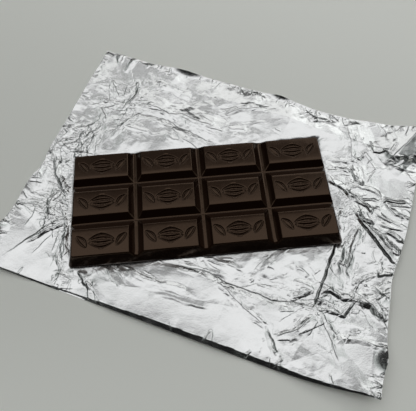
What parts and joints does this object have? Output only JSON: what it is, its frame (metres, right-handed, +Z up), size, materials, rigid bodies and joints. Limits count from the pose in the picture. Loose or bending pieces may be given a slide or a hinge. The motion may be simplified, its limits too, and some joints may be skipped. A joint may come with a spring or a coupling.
{
  "type": "chocolate bar",
  "caption": "Dark chocolate bar scored by V grooves into rectangular pieces with a sunk cocoa-pod relief, lying turned on its opened, creased foil wrapper.",
  "frame": {"origin": "under the middle of the bar, on the surface that the foil lies on", "axes": "+X along the bar's long side, +Y across it to the back, +Z up"},
  "size_m": [0.2696, 0.2407, 0.0147],
  "materials": {
    "dark_chocolate": "satin moulded dark chocolate, with a soft sheen on the tops and faint scuffs",
    "foil": "thin satin aluminium foil, creased and wrinkled"
  },
  "bodies": {
    "root": {"chocolate_bar": "dark_chocolate", "foil_wrapper": "foil"}
  },
  "joints": []
}
